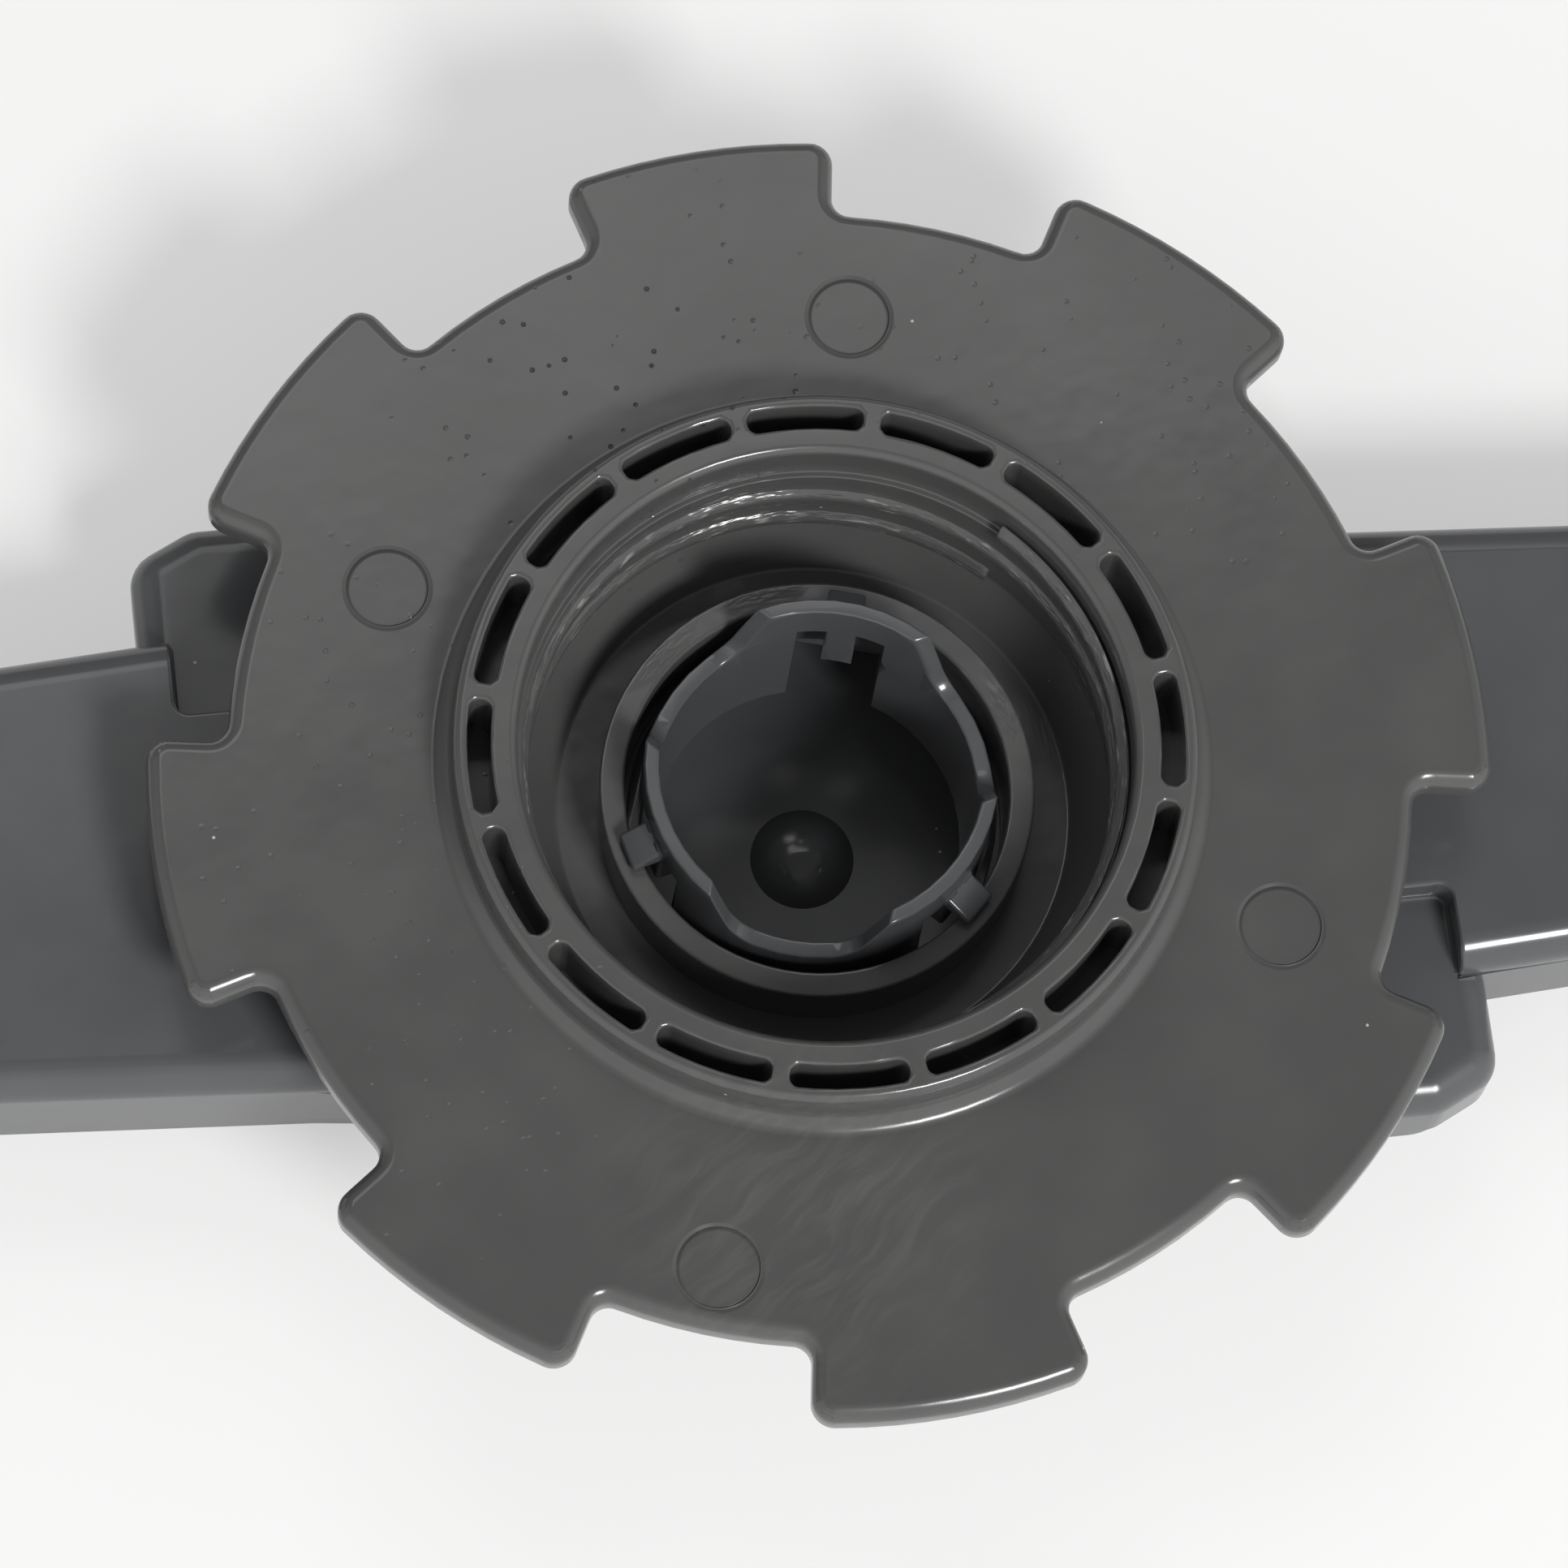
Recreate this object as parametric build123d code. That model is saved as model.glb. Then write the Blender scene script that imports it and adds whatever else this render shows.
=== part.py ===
from build123d import *
import math
import os

os.makedirs("parts", exist_ok=True)

# Dishwasher spray arm, nut side up. Millimetres, +Z up, wings along X.
# Origin on the hub axis in the plane of the arm's flat underside.

# Arm as a whole
arm_half_length = 198.0      # hub axis to the rounded wing tip
arm_top = 15.4               # wing top above the underside
wing_half_root = 18.7        # half width of a wing projected back to the hub axis
wing_taper = 0.0625          # half width lost for each mm outwards
wall = 2.0                   # side walls
top_wall = 2.2               # wall under the wing top
edge_round = 2.4             # rounded long edges on the wing top
seam = 6.6                   # height of the weld seam between the two shells
cover_inset = 0.6            # cover stands back under the rim of the upper shell
cover_corner = 4.4           # smallest plan rounding of the cover
cover_wall = 3.4             # thick rim of the cover, which takes the weld
under_edge = 3.4             # slanted lower edge of the cover shell
floor_wall = 2.0             # floor of the cover shell

# Hub of the upper shell
skirt_radius = 30.0          # low round skirt about the nut's cup
skirt_top = 12.6             # level of the skirt and the two ears
skirt_blend = 28.0           # plan radius from the skirt into the wing side
ear_end = 44.45              # ear's end face along X
ear_shoulder_x = 40.1        # where the ear's slanted corner begins
ear_corner_y = 22.75         # ear's corner, across X
ear_side_y = 24.9            # ear's long side, across X
ear_corner_round = 2.5       # plan rounding of the ear's corners
notch_end = 42.3             # wing top is cut back to here beside an ear
notch_side_y = 10.2          # and to this distance from X
notch_round = 1.0            # inner corner of that cut
deck_wall = 3.4              # deck in the middle of the well
well_gap = 1.0               # nut's cup to the wall of the well
deck_gap = 0.35              # nut's cup to the deck

# Inlet tube
tube_bore = 10.9             # at the crown
bore_foot = 10.5             # at the foot of the drafted bore
tube_wall = 1.0
land_top = 22.3              # top of the three lands of the crown
valley_depth = 4.8
land_angle = 59.0
crown_phase = 74.8           # middle of the first land
valley_lean = 2.0            # each side of a valley leans out by this over its depth
valley_round = 2.2
foot_height = 1.6            # bearing foot of the tube above the deck
window_width = 6.0
window_top = 18.6
tongue_width = 2.1
tongue_length = 5.0
hook_width = 2.6
hook_height = 1.6
hook_gap = 0.3               # hook over the nut's sleeve
hook_lap = 0.9               # hook's reach over the sleeve

# Mounting nut
disc_tip_radius = 45.0
tooth_depth = 5.35
tooth_count = 8
tooth_share = 0.54            # part of the pitch that the tooth takes at its tip
tooth_phase = 4.3            # middle of the first tooth
tooth_tip_share = 0.30       # rounding of a tooth's tip, as a part of its depth
tooth_root_share = 0.24      # rounding at its root
disc_thick = 3.0
disc_top = 23.5
disc_edge = 0.7              # broken upper edge of the disc
collar_radius = 24.75
collar_foot = 1.0            # sloped foot of the collar on the disc
rim = 27.4                   # top of the collar
rim_edge = 0.4               # broken edges of the rim
cup_radius = 23.6            # cup under the disc
thread_wall_radius = 20.05   # wall that carries the thread
lead_in_radius = 20.5        # plain mouth above the thread
lead_in = 3.6                # depth of that mouth
seat_radius = 17.55          # foot of the sealing cone
seat_height = 2.9
nut_floor = 1.7
sleeve_bore = 13.0
sleeve_radius = 14.7
sleeve_height = 5.0          # above the nut's floor
sleeve_rise = 5.2            # sleeve's top above the skirt of the arm
foot_gap = 0.4               # sleeve on the tube's bearing foot
slot_count = 16
slot_inner = 22.25
slot_outer = 23.8
slot_share = 0.87            # part of the pitch that a slot takes
slot_phase = 8.0             # middle of the first rib
slot_depth = 6.2
slot_corner = 0.4            # broken corners of a slot
eject_radius = 2.75
eject_depth = 0.12
eject_places = ((7.75, 79.9), (8.25, 151.6), (7.35, 333.4), (4.05, 252.0))  # in from the tooth roots, angle

# Water ways of the wings
jet_count = 5
jet_first = 78.0             # hub axis to the first jet of a wing
jet_tip_gap = 16.0           # last jet to the wing tip
jet_length = 6.0
jet_width = 2.2
dome_radius = 3.6
dome_height = 1.8

# Heights and radii that follow
sleeve_top = skirt_top + sleeve_rise
nut_floor_top = sleeve_top - sleeve_height
cup_bottom = nut_floor_top - nut_floor
deck_top = cup_bottom - deck_gap
deck_under = deck_top - deck_wall
well_radius = cup_radius + well_gap
well_wall_radius = well_radius + wall
tube_radius = tube_bore + tube_wall
foot_radius = sleeve_bore - foot_gap
hook_radius = sleeve_bore + hook_lap
hook_under = sleeve_top + hook_gap
disc_under = disc_top - disc_thick
disc_root_radius = disc_tip_radius - tooth_depth
tooth_tip_round = tooth_tip_share * tooth_depth
tooth_root_round = tooth_root_share * tooth_depth
jet_pitch = (arm_half_length - jet_tip_gap - jet_first) / (jet_count - 1)
bore_draft = (tube_bore - bore_foot) / (land_top - deck_under)
tip_half = (wing_half_root - wing_taper * arm_half_length) / (math.hypot(1.0, wing_taper) - wing_taper)
tip_centre = arm_half_length - tip_half
far = 3.0 * arm_half_length


def wing_half(x):
    """Half width of a wing at a distance from the hub axis."""
    return wing_half_root - wing_taper * x


def polar(radius, angle):
    """Point of a circle about the hub axis."""
    return (radius * math.cos(math.radians(angle)), radius * math.sin(math.radians(angle)))


def wedge(radius, half_angle):
    """Plan of a slice about +X with its point on the hub axis."""
    return Polygon((0.0, 0.0), polar(radius, -half_angle), polar(radius, half_angle), align=None)


def slab(face, z_low, z_high):
    """Prism of a face in the ground plane between two heights."""
    return extrude(Pos(0, 0, z_low) * face, amount=z_high - z_low, dir=(0, 0, 1))


def disc_between(radius, z_low, z_high):
    """Cylinder on the hub axis between two heights."""
    return slab(Circle(radius), z_low, z_high)


def facing(angle, height):
    """Upright plane on the hub axis that looks out along an angle."""
    out = polar(1.0, angle)
    return Plane(origin=(0, 0, height), x_dir=(-out[1], out[0], 0), z_dir=(out[0], out[1], 0))


def face_up(plan):
    """Plan with all its faces looking up."""
    return Sketch() + [f if f.normal_at().Z > 0.0 else -f for f in plan.faces()]


def grown(plan, amount):
    """Plan with its outline moved outwards by an amount."""
    return face_up(offset(plan, amount))


def make_wings():
    """Plan of both wings with their rounded tips."""
    slope = math.atan(wing_taper)
    tip_x = tip_centre + tip_half * math.sin(slope)
    tip_y = tip_half * math.cos(slope)
    root_y = wing_half(0.0)
    with BuildSketch() as plan:
        with BuildLine():
            Polyline((-tip_x, tip_y), (0.0, root_y), (tip_x, tip_y))
            ThreePointArc((tip_x, tip_y), (arm_half_length, 0.0), (tip_x, -tip_y))
            Polyline((tip_x, -tip_y), (0.0, -root_y), (-tip_x, -tip_y))
            ThreePointArc((-tip_x, -tip_y), (-arm_half_length, 0.0), (-tip_x, tip_y))
        make_face()
    return plan.sketch


def make_ear():
    """Plan of the ear beside the +X wing."""
    inner_y = 0.5 * notch_side_y
    plan = Polygon(
        (0.0, -inner_y), (ear_end, -inner_y), (ear_end, -ear_corner_y),
        (ear_shoulder_x, -ear_side_y), (0.0, -ear_side_y), align=None)
    corners = [v for v in plan.vertices() if v.X > 1.0 and v.Y < -0.6 * ear_side_y]
    return face_up(fillet(corners, ear_corner_round))


def make_hub(wings):
    """Plan of the wings with the round skirt blended in."""
    return grown(grown(wings + Circle(skirt_radius), skirt_blend), -skirt_blend)


wings = make_wings()
hub = make_hub(wings)
ear = make_ear()
base = hub + ear + Rot(0, 0, 180) * ear
wings_in = grown(wings, -wall)
base_in = grown(base, -wall)

# Upper shell: wings with rounded top edges, cut back beside the ears
spine = slab(wings, seam, arm_top)
spine = fillet(spine.faces().sort_by(Axis.Z)[-1].edges(), edge_round)
notch_plan = Polygon(
    (0.0, -notch_side_y), (notch_end, -notch_side_y),
    (notch_end, -2.0 * ear_side_y), (0.0, -2.0 * ear_side_y), align=None)
notch_plan = fillet([v for v in notch_plan.vertices() if v.X > 1.0 and v.Y > -ear_side_y], notch_round)
notch_both = notch_plan + Rot(0, 0, 180) * notch_plan
spine -= slab(notch_both, skirt_top, far)
low = slab(hub, seam, skirt_top)
ear_block = slab(ear, seam, skirt_top)
ear_rim = ear_block.faces().sort_by(Axis.Z)[-1].edges()
ear_rim = [e for e in ear_rim if e.center().X > 1.0 and e.center().Y < -0.5 * notch_side_y - 0.1]
ear_block = fillet(ear_rim, edge_round)
low += ear_block + Rot(0, 0, 180) * ear_block
upper = spine + low
upper -= disc_between(well_radius, deck_top, far)

# Cavity of the upper shell: wings, ears and the low passage under the deck
wing_room = slab(wings_in, seam, arm_top - top_wall)
notch_wall = offset(notch_both, wall, kind=Kind.INTERSECTION)
wing_room -= slab(notch_wall, skirt_top - wall, far)
low_room = slab(base_in, seam, skirt_top - wall)
well_wall = disc_between(well_wall_radius, deck_under, far)
passage = slab(base_in & Circle(well_wall_radius), seam, deck_under)
upper -= wing_room - well_wall
upper -= low_room - well_wall
upper -= passage

# Inlet tube with its crown, windows and snap hooks
tube = disc_between(tube_radius, deck_under, land_top)
tube += disc_between(foot_radius, deck_under, deck_top + foot_height)
valley_half = tube_radius * math.sin(math.radians(0.5 * (120.0 - land_angle)))
valley_foot = valley_half - valley_lean
valley_face = Polygon(
    (-valley_foot, 0.0), (valley_foot, 0.0), (valley_half + valley_lean, 2.0 * valley_depth),
    (-valley_half - valley_lean, 2.0 * valley_depth), align=None)
valley_face = fillet(valley_face.vertices().group_by(Axis.Y)[0], valley_round)
window_face = Rectangle(window_width, window_top - deck_under + 1.0, align=(Align.CENTER, Align.MAX))
tongue_face = Rectangle(tongue_width, tongue_length, align=(Align.CENTER, Align.MAX))
for step in range(3):
    land = crown_phase + 120.0 * step
    tube -= extrude(facing(land + 60.0, land_top - valley_depth) * valley_face, amount=2.0 * tube_radius)
    side = facing(land, window_top)
    window = extrude(side * window_face, amount=hook_radius)
    tube -= window
    upper -= window
    tongue = extrude(side * tongue_face, amount=2.0 * tube_radius) & disc_between(tube_radius, 0.0, far)
    tube += tongue
upper += tube
bore = Cone(bore_foot - bore_draft, tube_bore + bore_draft, land_top - deck_under + 2.0,
            align=(Align.CENTER, Align.CENTER, Align.MIN))
upper -= Pos(0, 0, deck_under - 1.0) * bore
hook_points = (
    (tube_bore + 0.5 * tube_wall, hook_under), (hook_radius, hook_under),
    (hook_radius, hook_under + 0.4 * hook_height), (tube_radius, hook_under + hook_height),
    (tube_bore + 0.5 * tube_wall, hook_under + hook_height))
hook_face = Plane.XZ * Polygon(*hook_points, align=None)
hook = extrude(hook_face, amount=0.5 * hook_width, both=True)
for step in range(3):
    upper += Rot(0, 0, crown_phase + 120.0 * step) * hook

# Jets in the wing tops
jet = slab(SlotOverall(jet_length, jet_width), arm_top - 2.0 * top_wall, arm_top + 1.0)
for step in range(jet_count):
    for way in (1.0, -1.0):
        upper -= Pos(way * (jet_first + jet_pitch * step), 0, 0) * Rot(0, 0, 90) * jet

# Lower shell: cover with slanted sides and deflecting dome
cover_plan = grown(grown(base, -cover_inset - cover_corner), cover_corner)
cover = slab(cover_plan, 0.0, seam)
cover = chamfer(cover.faces().sort_by(Axis.Z)[0].edges(), under_edge)
cover -= slab(grown(cover_plan, -cover_wall), floor_wall, far)
cap_radius = (dome_radius ** 2 + dome_height ** 2) / (2.0 * dome_height)
dome = Pos(0, 0, floor_wall + dome_height - cap_radius) * Sphere(cap_radius)
cover += dome & disc_between(dome_radius, floor_wall - 0.5, far)

# Mounting nut: cup with collar, sleeve and sealing cone
cone_top = nut_floor_top + seat_height
with BuildSketch(Plane.XZ) as cup_profile:
    with BuildLine():
        Polyline(
            (sleeve_bore, cup_bottom), (cup_radius, cup_bottom), (cup_radius, disc_top - 0.5 * disc_thick),
            (collar_radius + collar_foot, disc_top - 0.5 * disc_thick),
            (collar_radius + collar_foot, disc_top), (collar_radius, disc_top + collar_foot),
            (collar_radius, rim - rim_edge), (collar_radius - rim_edge, rim),
            (lead_in_radius + rim_edge, rim), (lead_in_radius, rim - rim_edge),
            (lead_in_radius, rim - lead_in), (thread_wall_radius, rim - lead_in),
            (thread_wall_radius, cone_top), (seat_radius, nut_floor_top), (sleeve_radius, nut_floor_top),
            (sleeve_radius, sleeve_top), (sleeve_bore, sleeve_top), (sleeve_bore, cup_bottom))
    make_face()
nut = revolve(cup_profile.sketch, Axis.Z)

# Toothed disc
pitch = 360.0 / tooth_count
root_plan = Circle(disc_root_radius)
tooth_half = 0.5 * tooth_share * pitch
tooth_plan = wedge(2.0 * disc_tip_radius, tooth_half) & Circle(disc_tip_radius)
disc_plan = root_plan
for step in range(tooth_count):
    disc_plan += Rot(0, 0, tooth_phase + pitch * step) * tooth_plan
tip_points = [v for v in disc_plan.vertices() if math.hypot(v.X, v.Y) > disc_tip_radius - 0.1]
disc_plan = fillet(tip_points, tooth_tip_round)
root_points = [v for v in disc_plan.vertices() if abs(math.hypot(v.X, v.Y) - disc_root_radius) < 0.1]
disc_plan = fillet(root_points, tooth_root_round)
disc = slab(disc_plan, disc_under, disc_top)
disc = chamfer(disc.faces().sort_by(Axis.Z)[-1].edges(), disc_edge)
for inset, angle in eject_places:
    spot = polar(disc_root_radius - inset, angle)
    disc -= Pos(spot[0], spot[1], 0) * slab(Circle(eject_radius), disc_top - eject_depth, far)
disc -= disc_between(cup_radius - 0.5, disc_under - 1.0, far)
nut += disc

# Cored slots of the collar
slot_half = 0.5 * slot_share * 360.0 / slot_count
slot_ring = Circle(slot_outer) - Circle(slot_inner)
slot_plan = slot_ring & wedge(2.0 * slot_outer, slot_half)
slot_plan = chamfer(slot_plan.vertices(), slot_corner)
slot_cut = slab(slot_plan, rim - slot_depth, far)
for step in range(slot_count):
    nut -= Rot(0, 0, slot_phase + 360.0 / slot_count * (step + 0.5)) * slot_cut

for name, solid in (("upper_shell", upper), ("lower_shell", cover), ("mounting_nut", nut)):
    export_step(solid, "parts/" + name + ".step")
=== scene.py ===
import logging
import math
from dataclasses import dataclass
from enum import Enum
from typing import Any

import bpy
from mathutils import Matrix, Vector

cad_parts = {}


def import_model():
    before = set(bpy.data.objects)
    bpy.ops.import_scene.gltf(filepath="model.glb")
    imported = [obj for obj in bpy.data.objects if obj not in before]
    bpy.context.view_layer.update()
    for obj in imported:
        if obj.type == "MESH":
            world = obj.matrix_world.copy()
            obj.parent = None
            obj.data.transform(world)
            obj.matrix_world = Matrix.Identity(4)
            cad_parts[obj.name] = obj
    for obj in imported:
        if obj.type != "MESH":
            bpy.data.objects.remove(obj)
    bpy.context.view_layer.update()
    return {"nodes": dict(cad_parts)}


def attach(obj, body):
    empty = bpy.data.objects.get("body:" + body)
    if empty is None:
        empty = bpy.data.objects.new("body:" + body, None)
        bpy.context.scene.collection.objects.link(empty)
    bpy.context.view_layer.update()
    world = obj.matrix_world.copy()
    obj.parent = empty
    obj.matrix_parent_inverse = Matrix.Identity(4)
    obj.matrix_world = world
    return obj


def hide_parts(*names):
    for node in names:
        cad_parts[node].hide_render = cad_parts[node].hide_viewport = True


LOG = logging.getLogger("spray_arm")
MM = 0.001
PHOTO_SIZE = 1932.0  # pixels on a side
WHITE = (1.0, 1.0, 1.0, 1.0)
PLASTIC_IOR = 1.5
# Dark colour laid in the pinholes: painted shade inside the tiny hollows.
PINHOLE_SHADE_COLOUR = "#202021"
SWIRL_COLOUR = "#6E6D6B"
# Pale colour of the scuffs: partly wear, partly painted glints along the thread.
SCUFF_AND_GLINT_COLOUR = "#9A9A98"
DUST_COLOUR = "#B9B9B4"


def srgb(code: str) -> tuple[float, float, float, float]:
    """Turn an sRGB hex colour into a linear one.

    Args:
        code: Six hex digits, with or without a leading hash.

    Returns:
        Linear red, green, blue and an alpha of one.
    """
    digits = code.lstrip("#")
    values = [int(digits[i:i + 2], 16) / 255.0 for i in (0, 2, 4)]
    linear = [v / 12.92 if v <= 0.04045 else ((v + 0.055) / 1.055) ** 2.4 for v in values]
    return (linear[0], linear[1], linear[2], 1.0)


def add_node(tree: bpy.types.NodeTree, kind: str, settings: dict[str, Any] | None = None,
             inputs: dict[str | int, Any] | None = None) -> bpy.types.Node:
    """Add a shader node, set its properties and fill or link its sockets.

    Args:
        tree: Node tree that gets the node.
        kind: Blender's name of the node type.
        settings: Properties of the node and their values.
        inputs: Socket names or places with a value, or with the socket to link from.

    Returns:
        The new node.
    """
    node = tree.nodes.new(kind)
    for name, value in (settings or {}).items():
        setattr(node, name, value)
    for name, value in (inputs or {}).items():
        if isinstance(value, bpy.types.NodeSocket):
            tree.links.new(value, node.inputs[name])
        else:
            node.inputs[name].default_value = value
    return node


class Mark(Enum):
    """Traces that moulding and use leave on the plastic. The pinholes' dark colour is painted shade,
    and the scuffs' pale colour is partly wear and partly painted glints.
    """

    PINHOLES = "pinholes"
    PIMPLES = "pimples"
    SWIRLS = "swirls"
    SCUFFS = "scuffs"
    RINGS = "rings"


# Height of each trace above the skin, in mm, below nought where it is a hollow.
TRACE_HEIGHTS_MM = {Mark.PIMPLES: 0.03, Mark.PINHOLES: -0.05, Mark.SCUFFS: 0.12, Mark.RINGS: -0.1}


@dataclass(frozen=True)
class Patch:
    """Place on a piece where one kind of trace gathers.

    Attributes:
        mark: Kind of trace.
        centre_mm: Middle of the patch.
        core_mm: Radius inside which the trace is at its full strength, or the radius of a ring.
        reach_mm: Radius at which it has died out.
    """

    mark: Mark
    centre_mm: tuple[float, float, float]
    core_mm: float
    reach_mm: float

    def mask(self, tree: bpy.types.NodeTree, place: bpy.types.NodeSocket) -> bpy.types.NodeSocket:
        """Fade the trace out from the middle of the patch.

        Args:
            tree: Node tree of the material.
            place: Socket with the place on the piece.

        Returns:
            Socket that falls from one in the patch to nought outside it.
        """
        centre = tuple(v * MM for v in self.centre_mm)
        away = add_node(tree, "ShaderNodeVectorMath", {"operation": "DISTANCE"}, {0: place, 1: centre})
        past = add_node(tree, "ShaderNodeMath", {"operation": "SUBTRACT"},
                        {0: away.outputs["Value"], 1: self.core_mm * MM})
        if self.mark is Mark.RINGS:
            past = add_node(tree, "ShaderNodeMath", {"operation": "ABSOLUTE"},
                            {0: past.outputs["Value"]})
        fade = add_node(tree, "ShaderNodeMapRange", {},
                        {"Value": past.outputs["Value"], "From Min": 0.0,
                         "From Max": (self.reach_mm - self.core_mm) * MM, "To Min": 1.0, "To Max": 0.0})
        return fade.outputs["Result"]


@dataclass(frozen=True)
class MouldedPlastic:
    """Grey filled polypropylene as it comes out of a steel mould.

    Attributes:
        name: Material name.
        colour: Light end of the slow mottle, sRGB.
        dark: Dark end of the slow mottle, sRGB.
        roughness: Middle roughness of the skin.
        smear: Swing of the roughness between flow smears.
        smear_mm: Size of the flow smears.
        ripple_mm: Size of the shallow waves in the skin.
        ripple_height_mm: Height of those waves.
        dust_share: Part of the dust cells that hold a speck.
        patches: Places with traces of moulding and use.
    """

    name: str
    colour: str
    dark: str
    roughness: float
    smear: float = 0.05
    smear_mm: float = 14.0
    ripple_mm: float = 3.2
    ripple_height_mm: float = 0.01
    dust_share: float = 0.04
    patches: tuple[Patch, ...] = ()

    def make(self) -> bpy.types.Material:
        """Build the material.

        Returns:
            A new material with the finish's values.
        """
        material = bpy.data.materials.new(self.name)
        material.use_nodes = True
        tree = material.node_tree
        tree.nodes.clear()
        place = add_node(tree, "ShaderNodeTexCoord").outputs["Object"]
        traces = self.traces(tree, place)
        colour = self.tone(tree, place, traces)
        normal = self.skin(tree, place, traces)
        smear = self.noise(tree, place, self.smear_mm, 2.0)
        gloss = add_node(tree, "ShaderNodeMapRange", {},
                         {"Value": smear, "From Min": 0.3, "From Max": 0.7,
                          "To Min": self.roughness - self.smear, "To Max": self.roughness + self.smear})
        shader = add_node(tree, "ShaderNodeBsdfPrincipled", {},
                          {"Base Color": colour, "Roughness": gloss.outputs["Result"],
                           "IOR": PLASTIC_IOR, "Normal": normal})
        add_node(tree, "ShaderNodeOutputMaterial", {}, {"Surface": shader.outputs["BSDF"]})
        return material

    def noise(self, tree: bpy.types.NodeTree, place: bpy.types.NodeSocket, size_mm: float,
              detail: float) -> bpy.types.NodeSocket:
        """Add a soft random pattern.

        Args:
            tree: Node tree of the material.
            place: Socket with the place on the piece.
            size_mm: Size of its largest lumps.
            detail: Finer layers that it carries.

        Returns:
            Socket with the pattern, about one half in the mean.
        """
        pattern = add_node(tree, "ShaderNodeTexNoise", {"noise_dimensions": "3D"},
                           {"Vector": place, "Scale": 1.0 / (size_mm * MM), "Detail": detail,
                            "Roughness": 0.62})
        return pattern.outputs["Fac"]

    def product(self, tree: bpy.types.NodeTree, one: bpy.types.NodeSocket,
                two: bpy.types.NodeSocket | float) -> bpy.types.NodeSocket:
        """Multiply two values.

        Args:
            tree: Node tree of the material.
            one: First socket.
            two: Second socket or number.

        Returns:
            Socket with the product.
        """
        times = add_node(tree, "ShaderNodeMath", {"operation": "MULTIPLY"}, {0: one, 1: two})
        return times.outputs["Value"]

    def blend(self, tree: bpy.types.NodeTree, share: bpy.types.NodeSocket, under: bpy.types.NodeSocket,
              over: str) -> bpy.types.NodeSocket:
        """Lay a colour over another.

        Args:
            tree: Node tree of the material.
            share: Socket with the upper colour's share.
            under: Socket with the lower colour.
            over: Upper colour, sRGB.

        Returns:
            Socket with the mixed colour.
        """
        mixed = add_node(tree, "ShaderNodeMix", {"data_type": "RGBA"},
                         {0: share, 6: under, 7: srgb(over)})
        return mixed.outputs[2]

    def traces(self, tree: bpy.types.NodeTree,
               place: bpy.types.NodeSocket) -> dict[Mark, bpy.types.NodeSocket]:
        """Draw each kind of trace once, in all the patches that hold it.

        Args:
            tree: Node tree of the material.
            place: Socket with the place on the piece.

        Returns:
            For each kind of trace the socket with its pattern, nought outside its patches.
        """
        masks: dict[Mark, bpy.types.NodeSocket] = {}
        for patch in self.patches:
            mask = patch.mask(tree, place)
            if patch.mark in masks:
                mask = add_node(tree, "ShaderNodeMath", {"operation": "MAXIMUM"},
                                {0: masks[patch.mark], 1: mask}).outputs["Value"]
            masks[patch.mark] = mask
        patterns: dict[Mark, bpy.types.NodeSocket] = {}
        if Mark.PINHOLES in masks or Mark.PIMPLES in masks:
            patterns[Mark.PINHOLES] = self.spots(tree, place, 1.2, 0.18, 0.45)
            patterns[Mark.PIMPLES] = patterns[Mark.PINHOLES]
        if Mark.SWIRLS in masks:
            patterns[Mark.SWIRLS] = self.swirls(tree, place)
        if Mark.SCUFFS in masks:
            patterns[Mark.SCUFFS] = self.scratches(tree, place)
        return {mark: self.product(tree, mask, patterns[mark]) if mark in patterns else mask
                for mark, mask in masks.items()}

    def tone(self, tree: bpy.types.NodeTree, place: bpy.types.NodeSocket,
             traces: dict[Mark, bpy.types.NodeSocket]) -> bpy.types.NodeSocket:
        """Mix the grey of the plastic with its dust and traces, with painted shade in the pinholes and
        pale scuffs that are partly painted glints.

        Args:
            tree: Node tree of the material.
            place: Socket with the place on the piece.
            traces: Patterns of the traces.

        Returns:
            Socket with the colour.
        """
        mottle = self.noise(tree, place, 7.0, 2.0)
        grey = add_node(tree, "ShaderNodeMix", {"data_type": "RGBA"},
                        {0: mottle, 6: srgb(self.dark), 7: srgb(self.colour)}).outputs[2]
        # Painted shade: the pinholes are darkened as shade would fall in them.
        if Mark.PINHOLES in traces:
            grey = self.blend(tree, traces[Mark.PINHOLES], grey, PINHOLE_SHADE_COLOUR)
        if Mark.SWIRLS in traces:
            grey = self.blend(tree, traces[Mark.SWIRLS], grey, SWIRL_COLOUR)
        if Mark.SCUFFS in traces:
            # Pale scuffs: partly wear, partly painted glints along the thread.
            scuff_and_glint = add_node(tree, "ShaderNodeMapRange", {},
                            {"Value": traces[Mark.SCUFFS], "From Min": 0.6, "From Max": 0.75,
                             "To Min": 0.0, "To Max": 0.8})
            grey = self.blend(tree, scuff_and_glint.outputs["Result"], grey, SCUFF_AND_GLINT_COLOUR)
        speck = self.spots(tree, place, 2.4, 0.055, self.dust_share)
        return self.blend(tree, speck, grey, DUST_COLOUR)

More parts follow.
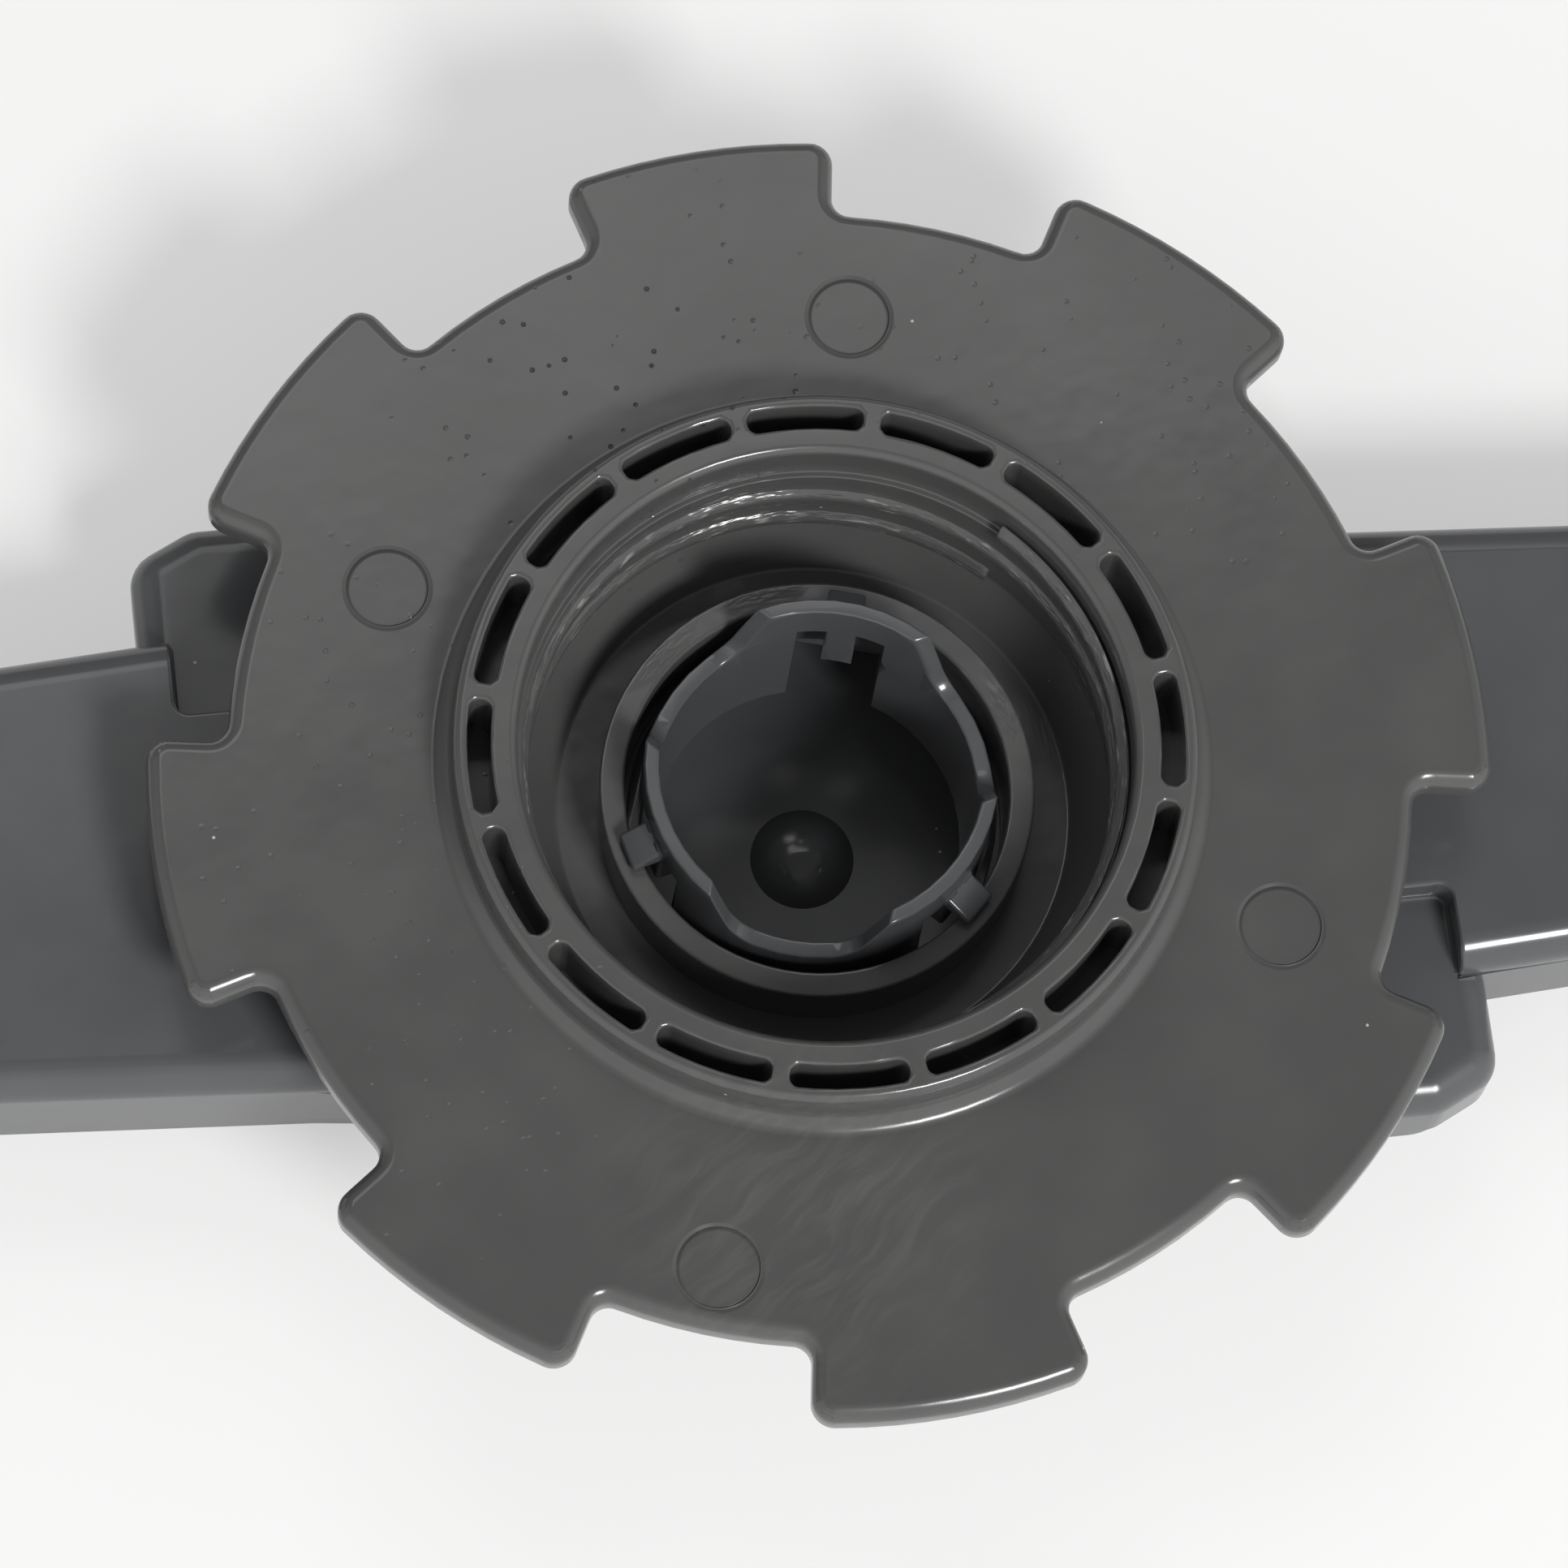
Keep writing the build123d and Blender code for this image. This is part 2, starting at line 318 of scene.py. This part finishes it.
    def spots(self, tree: bpy.types.NodeTree, place: bpy.types.NodeSocket, cell_mm: float,
              radius: float, share: float) -> bpy.types.NodeSocket:
        """Scatter small round spots over the piece.

        Args:
            tree: Node tree of the material.
            place: Socket with the place on the piece.
            cell_mm: Spacing of the places that may hold a spot.
            radius: Spot's radius as a part of the spacing.
            share: Part of those places that hold a spot.

        Returns:
            Socket that is one on a spot and nought off it.
        """
        cells = add_node(tree, "ShaderNodeTexVoronoi", {"feature": "F1"},
                         {"Vector": place, "Scale": 1.0 / (cell_mm * MM)})
        near = add_node(tree, "ShaderNodeMapRange", {},
                        {"Value": cells.outputs["Distance"], "From Min": 0.5 * radius,
                         "From Max": radius, "To Min": 1.0, "To Max": 0.0})
        lot = add_node(tree, "ShaderNodeSeparateColor", {}, {"Color": cells.outputs["Color"]})
        held = add_node(tree, "ShaderNodeMath", {"operation": "LESS_THAN"},
                        {0: lot.outputs["Red"], 1: share})
        return self.product(tree, near.outputs["Result"], held.outputs["Value"])

    def swirls(self, tree: bpy.types.NodeTree, place: bpy.types.NodeSocket) -> bpy.types.NodeSocket:
        """Draw out the pale streaks that the melt left as it flowed.

        Args:
            tree: Node tree of the material.
            place: Socket with the place on the piece.

        Returns:
            Socket that is high on a streak.
        """
        bend = add_node(tree, "ShaderNodeTexNoise", {"noise_dimensions": "3D"},
                        {"Vector": place, "Scale": 1.0 / (9.0 * MM), "Detail": 2.0})
        push = add_node(tree, "ShaderNodeVectorMath", {"operation": "MULTIPLY"},
                        {0: bend.outputs["Color"], 1: (6.0 * MM, 6.0 * MM, 0.0)})
        bent = add_node(tree, "ShaderNodeVectorMath", {"operation": "ADD"},
                        {0: place, 1: push.outputs["Vector"]})
        drawn = add_node(tree, "ShaderNodeMapping", {"vector_type": "TEXTURE"},
                         {"Vector": bent.outputs["Vector"], "Rotation": (0.0, 0.0, math.radians(38.0)),
                          "Scale": (7.0, 1.0, 1.0)})
        streak = self.noise(tree, drawn.outputs["Vector"], 0.8, 2.0)
        level = add_node(tree, "ShaderNodeMapRange", {},
                         {"Value": streak, "From Min": 0.42, "From Max": 0.85,
                          "To Min": 0.0, "To Max": 0.4})
        return level.outputs["Result"]

    def scratches(self, tree: bpy.types.NodeTree, place: bpy.types.NodeSocket) -> bpy.types.NodeSocket:
        """Draw short scratches that run round the hub axis; their pale colour is partly wear and partly
        painted glints.

        Args:
            tree: Node tree of the material.
            place: Socket with the place on the piece.

        Returns:
            Socket with the pattern, about one half in the mean.
        """
        split = add_node(tree, "ShaderNodeSeparateXYZ", {}, {"Vector": place})
        angle = add_node(tree, "ShaderNodeMath", {"operation": "ARCTAN2"},
                         {0: split.outputs["Y"], 1: split.outputs["X"]})
        along = self.product(tree, angle.outputs["Value"], 4.0 * MM)
        flat = add_node(tree, "ShaderNodeVectorMath", {"operation": "MULTIPLY"},
                        {0: place, 1: (1.0, 1.0, 0.0)})
        out = add_node(tree, "ShaderNodeVectorMath", {"operation": "LENGTH"},
                       {0: flat.outputs["Vector"]})
        drawn = add_node(tree, "ShaderNodeCombineXYZ", {},
                         {"X": along, "Y": out.outputs["Value"], "Z": split.outputs["Z"]})
        return self.noise(tree, drawn.outputs["Vector"], 0.5, 2.0)

    def skin(self, tree: bpy.types.NodeTree, place: bpy.types.NodeSocket,
             traces: dict[Mark, bpy.types.NodeSocket]) -> bpy.types.NodeSocket:
        """Lay ripples and the traces over the surface.

        Args:
            tree: Node tree of the material.
            place: Socket with the place on the piece.
            traces: Patterns of the traces.

        Returns:
            Socket with the normal.
        """
        layers = [(self.noise(tree, place, self.ripple_mm, 1.0), self.ripple_height_mm)]
        layers += [(traces[mark], rise) for mark, rise in TRACE_HEIGHTS_MM.items() if mark in traces]
        height: bpy.types.NodeSocket | float = 0.0
        for layer, rise in layers:
            height = add_node(tree, "ShaderNodeMath", {"operation": "MULTIPLY_ADD"},
                              {0: layer, 1: rise, 2: height}).outputs["Value"]
        bump = add_node(tree, "ShaderNodeBump", {}, {"Height": height, "Distance": MM, "Strength": 1.0})
        return bump.outputs["Normal"]


NUT_PATCHES = (
    # Pinhole patch: its dark colour is painted shade in the hollows.
    Patch(Mark.PINHOLES, (-11.0, 29.0, 23.5), 5.0, 17.0),
    Patch(Mark.PIMPLES, (-31.0, 7.0, 23.5), 5.0, 14.0),
    Patch(Mark.PIMPLES, (24.0, 27.0, 23.5), 8.0, 20.0),
    Patch(Mark.PIMPLES, (-34.0, -14.0, 23.5), 8.0, 22.0),
    Patch(Mark.SWIRLS, (-5.0, -31.0, 23.5), 5.0, 15.0),
    # Scuffs on the thread wall: pale colour that is partly wear, partly painted glints.
    Patch(Mark.SCUFFS, (-13.0, 14.5, 20.0), 3.0, 7.0),
    Patch(Mark.SCUFFS, (-3.0, 19.3, 20.0), 3.0, 7.0),
    Patch(Mark.SCUFFS, (18.5, 5.0, 18.5), 3.0, 7.0),
    Patch(Mark.RINGS, (5.6, 31.4, 23.4), 2.8, 3.05),
    Patch(Mark.RINGS, (-27.6, 14.9, 23.4), 2.8, 3.05),
    Patch(Mark.RINGS, (28.9, -14.5, 23.4), 2.8, 3.05),
    Patch(Mark.RINGS, (-11.0, -33.9, 23.4), 2.8, 3.05),
)


@dataclass
class PhotoCamera:
    """Camera fitted to the circles of the nut in the photograph.

    Attributes:
        elevation: Degrees above the plane of the disc.
        azimuth: Degrees about the hub axis from the arm's -Y side.
        roll: Degrees that the picture is turned.
        distance_mm: Depth of the disc's middle.
        focal_px: Focal length in pixels of the photograph.
        middle_px: Where the disc's middle falls in the photograph.
        aim_height_mm: Height of the disc's top face.
    """

    elevation: float = 71.155
    azimuth: float = -17.779
    roll: float = 11.529
    distance_mm: float = 489.44
    focal_px: float = 9059.1
    middle_px: tuple[float, float] = (1014.57, 936.86)
    aim_height_mm: float = 23.5

    def build(self) -> bpy.types.Object:
        """Make the camera and set it as the scene's own.

        Returns:
            The camera object.
        """
        elevation, turn, roll = (math.radians(v) for v in (self.elevation, self.azimuth, self.roll))
        about = Matrix.Rotation(turn, 3, "Z")
        ahead = about @ Vector((0.0, math.cos(elevation), -math.sin(elevation)))
        flat_right = about @ Vector((1.0, 0.0, 0.0))
        flat_up = flat_right.cross(ahead)
        right = math.cos(roll) * flat_right + math.sin(roll) * flat_up
        up = math.cos(roll) * flat_up - math.sin(roll) * flat_right
        half = 0.5 * PHOTO_SIZE
        across = (self.middle_px[0] - half) / self.focal_px * self.distance_mm
        over = (half - self.middle_px[1]) / self.focal_px * self.distance_mm
        aim = Vector((0.0, 0.0, self.aim_height_mm))
        place = (aim - across * right - over * up - self.distance_mm * ahead) * MM
        data = bpy.data.cameras.new("photo_camera")
        data.sensor_width = 36.0
        data.sensor_height = 36.0
        data.lens = 36.0 * self.focal_px / PHOTO_SIZE
        data.clip_start = 0.01
        data.clip_end = 10.0
        camera = bpy.data.objects.new("photo_camera", data)
        camera.matrix_world = Matrix((
            (right.x, up.x, -ahead.x, place.x), (right.y, up.y, -ahead.y, place.y),
            (right.z, up.z, -ahead.z, place.z), (0.0, 0.0, 0.0, 1.0)))
        bpy.context.scene.collection.objects.link(camera)
        bpy.context.scene.camera = camera
        return camera


@dataclass(frozen=True)
class Lamp:
    """A soft lamp with a broad white face that looks at the hub.

    Attributes:
        name: Lamp's name.
        place_m: Where it stands.
        wide_m: Width of its face.
        high_m: Height of its face.
        power: Power in watts.
    """

    name: str
    place_m: tuple[float, float, float]
    wide_m: float
    high_m: float
    power: float

    def build(self) -> None:
        """Hang the lamp."""
        data = bpy.data.lights.new(self.name, "AREA")
        data.shape = "RECTANGLE"
        data.size = self.wide_m
        data.size_y = self.high_m
        data.energy = self.power
        lamp = bpy.data.objects.new(self.name, data)
        lamp.location = self.place_m
        aim = Vector((0.0, 0.0, 0.015)) - Vector(self.place_m)
        lamp.rotation_euler = aim.to_track_quat("-Z", "Y").to_euler()
        bpy.context.scene.collection.objects.link(lamp)


@dataclass
class Studio:
    """White paper floor and soft lamps round the arm.

    Attributes:
        floor_m: Side of the floor.
        paper: Floor colour, sRGB.
        lift: Share of plain white in what the eye sees of the floor.
        world_strength: Level of the even light from all round.
        lamps: The soft lamps.
    """

    floor_m: float = 6.0
    paper: str = "#EDEDEC"
    lift: float = 0.42
    world_strength: float = 1.0
    lamps: tuple[Lamp, ...] = (
        Lamp("key", (0.58, -1.30, 1.41), 0.44, 0.44, 30.0),
        Lamp("back panel", (-0.20, 1.44, 2.38), 1.6, 1.2, 10.5),
    )

    def build(self) -> None:
        """Set the world, hang the lamps and lay the floor."""
        bpy.context.scene.view_settings.view_transform = "Standard"
        self.light_world()
        for lamp in self.lamps:
            lamp.build()
        self.lay_floor()

    def light_world(self) -> None:
        """Set a white tent that is bright low down in front and dim overhead and behind."""
        world = bpy.data.worlds.new("studio")
        bpy.context.scene.world = world
        world.use_nodes = True
        tree = world.node_tree
        tree.nodes.clear()
        way = add_node(tree, "ShaderNodeTexCoord").outputs["Generated"]
        split = add_node(tree, "ShaderNodeSeparateXYZ", {}, {"Vector": way})
        front = add_node(tree, "ShaderNodeMapRange", {},
                         {"Value": split.outputs["Y"], "From Min": -0.3, "From Max": 0.5,
                          "To Min": self.world_strength, "To Max": 0.3 * self.world_strength})
        low = add_node(tree, "ShaderNodeMapRange", {},
                       {"Value": split.outputs["Z"], "From Min": 0.55, "From Max": 0.9,
                        "To Min": 1.0, "To Max": 0.25})
        level = add_node(tree, "ShaderNodeMath", {"operation": "MULTIPLY"},
                         {0: front.outputs["Result"], 1: low.outputs["Result"]})
        light = add_node(tree, "ShaderNodeBackground", {},
                         {"Color": WHITE, "Strength": level.outputs["Value"]})
        add_node(tree, "ShaderNodeOutputWorld", {}, {"Surface": light.outputs["Background"]})

    def lay_floor(self) -> None:
        """Lay the paper under the arm."""
        bpy.ops.object.select_all(action="DESELECT")
        bpy.ops.mesh.primitive_plane_add(size=self.floor_m, location=(0.0, 0.0, 0.0))
        floor = bpy.context.object
        floor.name = "paper floor"
        # Matt white paper: even and bright to the eye, with its shadows lifted as in a white tent.
        material = bpy.data.materials.new("matt white paper")
        material.cycles.emission_sampling = "NONE"
        material.use_nodes = True
        tree = material.node_tree
        tree.nodes.clear()
        sheet = add_node(tree, "ShaderNodeBsdfDiffuse", {}, {"Color": srgb(self.paper)})
        glow = add_node(tree, "ShaderNodeEmission", {}, {"Color": WHITE, "Strength": 1.0})
        path = add_node(tree, "ShaderNodeLightPath")
        seen = add_node(tree, "ShaderNodeMath", {"operation": "ADD", "use_clamp": True},
                        {0: path.outputs["Is Camera Ray"], 1: path.outputs["Is Glossy Ray"]})
        share = add_node(tree, "ShaderNodeMath", {"operation": "MULTIPLY"},
                         {0: seen.outputs["Value"], 1: self.lift})
        mixed = add_node(tree, "ShaderNodeMixShader", {},
                         {0: share.outputs["Value"], 1: sheet.outputs["BSDF"],
                          2: glow.outputs["Emission"]})
        add_node(tree, "ShaderNodeOutputMaterial", {}, {"Surface": mixed.outputs["Shader"]})
        floor.data.materials.append(material)


def dress(thing: bpy.types.Object, material: bpy.types.Material) -> None:
    """Give an object one material only.

    Args:
        thing: Object to dress.
        material: Its material.
    """
    thing.data.materials.clear()
    thing.data.materials.append(material)


def choose(thing: bpy.types.Object) -> None:
    """Make an object the only one selected, and the active one.

    Args:
        thing: Object to work on.
    """
    bpy.ops.object.select_all(action="DESELECT")
    thing.select_set(True)
    bpy.context.view_layer.objects.active = thing


def seat(thing: bpy.types.Object, name: str, body: str, material: bpy.types.Material) -> None:
    """Name a finished piece, dress it and let it ride on its body.

    Args:
        thing: Finished piece.
        name: Piece's name.
        body: Body that carries it.
        material: Its material.
    """
    thing.name = name
    dress(thing, material)
    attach(thing, body)
    LOG.info("%s rides on %s with %d faces", name, body, len(thing.data.polygons))


@dataclass(frozen=True)
class EdgeZone:
    """Ring about the hub axis whose sharp edges share one rounding.

    Attributes:
        radius_mm: Inner and outer radius of the ring.
        height_mm: Lower and upper level of the ring.
        share: Part of the full rounding that its edges get.
    """

    radius_mm: tuple[float, float]
    height_mm: tuple[float, float]
    share: float

    def holds(self, point: Vector) -> bool:
        """Tell whether a point lies in the ring.

        Args:
            point: Point in metres.

        Returns:
            True inside the ring.
        """
        out = math.hypot(point.x, point.y) / MM
        high = point.z / MM
        inside = self.radius_mm[0] <= out <= self.radius_mm[1]
        return inside and self.height_mm[0] <= high <= self.height_mm[1]


@dataclass
class SoftEdges:
    """Moulding with its sharp edges rounded, in place of a plain CAD node.

    Attributes:
        node: CAD node that it stands for.
        name: Piece's name.
        body: Body that carries it.
        slot: Material slot of the record; not used.
        round_mm: Full rounding.
        zones: Rings whose edges are rounded, the first that holds an edge counts.
        sharp: Degrees between two faces from which an edge is sharp.
        flat: Degrees up to which two faces are one plane.
        merge_mm: Distance up to which two corners are one.
        segments: Faces across a rounding.
    """

    node: str
    name: str
    body: str
    slot: str
    round_mm: float
    zones: tuple[EdgeZone, ...]
    sharp: float = 25.0
    flat: float = 0.3
    merge_mm: float = 0.002
    segments: int = 3

    def build(self, plain: bpy.types.Object, material: bpy.types.Material) -> None:
        """Copy the node, round the edges and seat the copy.

        Args:
            plain: Object of the CAD node, which is only copied.
            material: Finish of the moulding.
        """
        choose(plain)
        bpy.ops.object.duplicate()
        piece = bpy.context.object
        bpy.ops.object.mode_set(mode="EDIT")
        bpy.ops.mesh.select_mode(type="EDGE")
        bpy.ops.mesh.select_all(action="SELECT")
        bpy.ops.mesh.remove_doubles(threshold=self.merge_mm * MM)
        bpy.ops.mesh.dissolve_limited(angle_limit=math.radians(self.flat))
        bpy.ops.mesh.select_all(action="DESELECT")
        bpy.ops.mesh.edges_select_sharp(sharpness=math.radians(self.sharp))
        bpy.ops.object.mode_set(mode="OBJECT")
        mesh = piece.data
        weights = mesh.attributes.new("bevel_weight_edge", "FLOAT", "EDGE")
        for edge in mesh.edges:
            if edge.select:
                ends = [mesh.vertices[i].co for i in edge.vertices]
                middle = 0.5 * (ends[0] + ends[1])
                shares = [zone.share for zone in self.zones if zone.holds(middle)]
                weights.data[edge.index].value = shares[0] if shares else 0.0
        rounding = piece.modifiers.new("rounding", "BEVEL")
        rounding.limit_method = "WEIGHT"
        rounding.width = self.round_mm * MM
        rounding.segments = self.segments
        rounding.use_clamp_overlap = False
        bpy.ops.object.modifier_apply(modifier=rounding.name)
        bpy.ops.object.shade_smooth_by_angle(angle=math.radians(self.sharp))
        even = piece.modifiers.new("even", "WEIGHTED_NORMAL")
        even.keep_sharp = True
        bpy.ops.object.modifier_apply(modifier=even.name)
        seat(piece, self.name, self.body, material)
        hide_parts(self.node)


NUT_EDGES = (
    EdgeZone((38.6, 46.0), (22.0, 24.0), 0.57),
    EdgeZone((38.6, 46.0), (20.0, 22.0), 1.0),
    EdgeZone((24.5, 26.5), (23.0, 25.0), 0.57),
    EdgeZone((24.0, 25.0), (26.5, 28.0), 0.23),
    EdgeZone((22.0, 23.95), (27.3, 28.0), 0.4),
    EdgeZone((22.0, 23.95), (21.5, 27.0), 0.4),
    EdgeZone((20.0, 21.5), (23.0, 28.0), 0.23),
    EdgeZone((17.0, 20.5), (12.0, 17.0), 0.29),
    EdgeZone((12.5, 15.0), (17.0, 18.5), 0.34),
)
SHELL_EDGES = (
    EdgeZone((10.0, 14.5), (15.0, 23.0), 0.55),
    EdgeZone((25.0, 60.0), (12.0, 16.0), 0.8),
)


@dataclass
class ThreadRidge:
    """Coarse right-hand thread on the bore of the nut's collar.

    Attributes:
        bore_mm: Radius of the bore.
        bury_mm: Depth of the ridge's root in the wall.
        height_mm: Ridge above the wall.
        root_mm: Width of the ridge at the wall.
        crest_mm: Width of the ridge at its crest.
        pitch_mm: Fall of the ridge in one turn.
        turns: Full turns of the ridge.
        start_angle: Angle of its upper end.
        start_mm: Height of its upper end.
        steps: Facets in a turn.
        edge_mm: Rounding of the ridge's edges.
        merge_mm: Distance up to which two corners are one.
    """

    bore_mm: float = 20.05
    bury_mm: float = 0.2
    height_mm: float = 0.5
    root_mm: float = 2.1
    crest_mm: float = 0.8
    pitch_mm: float = 4.1
    turns: int = 2
    start_angle: float = 47.0
    start_mm: float = 24.3
    steps: int = 180
    edge_mm: float = 0.16
    merge_mm: float = 0.02

    def build(self, material: bpy.types.Material) -> None:
        """Model the ridge and seat it on the nut.

        Args:
            material: Finish of the ridge.
        """
        depth = self.bury_mm + self.height_mm
        middle = self.bore_mm + self.bury_mm - 0.5 * depth
        turn = math.radians(self.start_angle)
        place = (middle * math.cos(turn) * MM, middle * math.sin(turn) * MM, self.start_mm * MM)
        bpy.ops.object.select_all(action="DESELECT")
        bpy.ops.mesh.primitive_plane_add(size=1.0, location=place, rotation=(0.5 * math.pi, 0.0, turn))
        ridge = bpy.context.object
        ridge.scale = (depth * MM, self.root_mm * MM, 1.0)
        bpy.ops.object.transform_apply(location=True, rotation=True, scale=True)
        crest = self.bore_mm - 0.5 * self.height_mm
        for vertex in ridge.data.vertices:
            vertex.select = math.hypot(vertex.co.x, vertex.co.y) < crest * MM
        for edge in ridge.data.edges:
            edge.select = all(ridge.data.vertices[i].select for i in edge.vertices)
        for face in ridge.data.polygons:
            face.select = False
        bpy.ops.object.mode_set(mode="EDIT")
        bpy.ops.mesh.select_mode(type="EDGE")
        bpy.ops.transform.resize(value=(1.0, 1.0, self.crest_mm / self.root_mm), center_override=place)
        bpy.ops.mesh.select_all(action="SELECT")
        bpy.ops.mesh.delete(type="ONLY_FACE")
        bpy.ops.object.mode_set(mode="OBJECT")
        screw = ridge.modifiers.new("run", "SCREW")
        screw.axis = "Z"
        screw.angle = -2.0 * math.pi
        screw.screw_offset = -self.pitch_mm * MM
        screw.iterations = self.turns
        screw.steps = self.steps
        screw.render_steps = self.steps
        bpy.ops.object.modifier_apply(modifier=screw.name)
        bpy.ops.object.mode_set(mode="EDIT")
        bpy.ops.mesh.select_all(action="SELECT")
        bpy.ops.mesh.remove_doubles(threshold=self.merge_mm * MM)
        bpy.ops.mesh.select_all(action="DESELECT")
        bpy.ops.mesh.select_non_manifold(extend=False)
        bpy.ops.mesh.fill_holes(sides=4)
        bpy.ops.mesh.select_all(action="SELECT")
        bpy.ops.mesh.normals_make_consistent(inside=False)
        bpy.ops.object.mode_set(mode="OBJECT")
        soft = ridge.modifiers.new("soft", "BEVEL")
        soft.width = self.edge_mm * MM
        soft.segments = 2
        soft.limit_method = "ANGLE"
        soft.angle_limit = math.radians(30.0)
        bpy.ops.object.modifier_apply(modifier=soft.name)
        bpy.ops.object.shade_smooth_by_angle(angle=math.radians(40.0))
        seat(ridge, "collar_thread_ridge", "nut", material)


def main() -> None:
    """Load the arm's frame, dress it, light it and set the camera."""
    logging.basicConfig(level=logging.INFO, format="%(name)s: %(message)s")
    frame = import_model()
    nodes = frame["nodes"]
    # Satin moulded polypropylene: even cool grey, soft broad reflections, a few specks of dust.
    arm = MouldedPlastic("satin moulded polypropylene", "#535456", "#4C4D4F", 0.19,
                         dust_share=0.08).make()
    # Semi-gloss moulded polypropylene: warmer grey with flow swirls, small pimples, and pinholes
    # darkened with painted shade.
    # Its scuffs on the thread wall are pale: partly wear, partly painted glints.
    nut = MouldedPlastic("semi-gloss moulded polypropylene", "#525251", "#494949", 0.18, ripple_mm=2.2,
                         ripple_height_mm=0.012, dust_share=0.1, patches=NUT_PATCHES).make()
    # The same plastic rubbed by the pipe's thread: glossy crests with pale scuffs, partly wear and
    # partly painted glints.
    crest = MouldedPlastic("rubbed polypropylene thread with painted glints", "#525251", "#484848", 0.16,
                           ripple_height_mm=0.02, ripple_mm=1.2, dust_share=0.12,
                           patches=(Patch(Mark.SCUFFS, (0.0, 0.0, 20.0), 40.0, 50.0),)).make()
    dress(nodes["lower_shell"], arm)
    SoftEdges("upper_shell", "upper_moulding", "arm", "arm_plastic", 0.4, SHELL_EDGES).build(
        nodes["upper_shell"], arm)
    SoftEdges("mounting_nut", "nut_moulding", "nut", "nut_plastic", 0.7, NUT_EDGES).build(
        nodes["mounting_nut"], nut)
    ThreadRidge().build(crest)
    Studio().build()
    PhotoCamera().build()


if __name__ == "__main__":
    main()
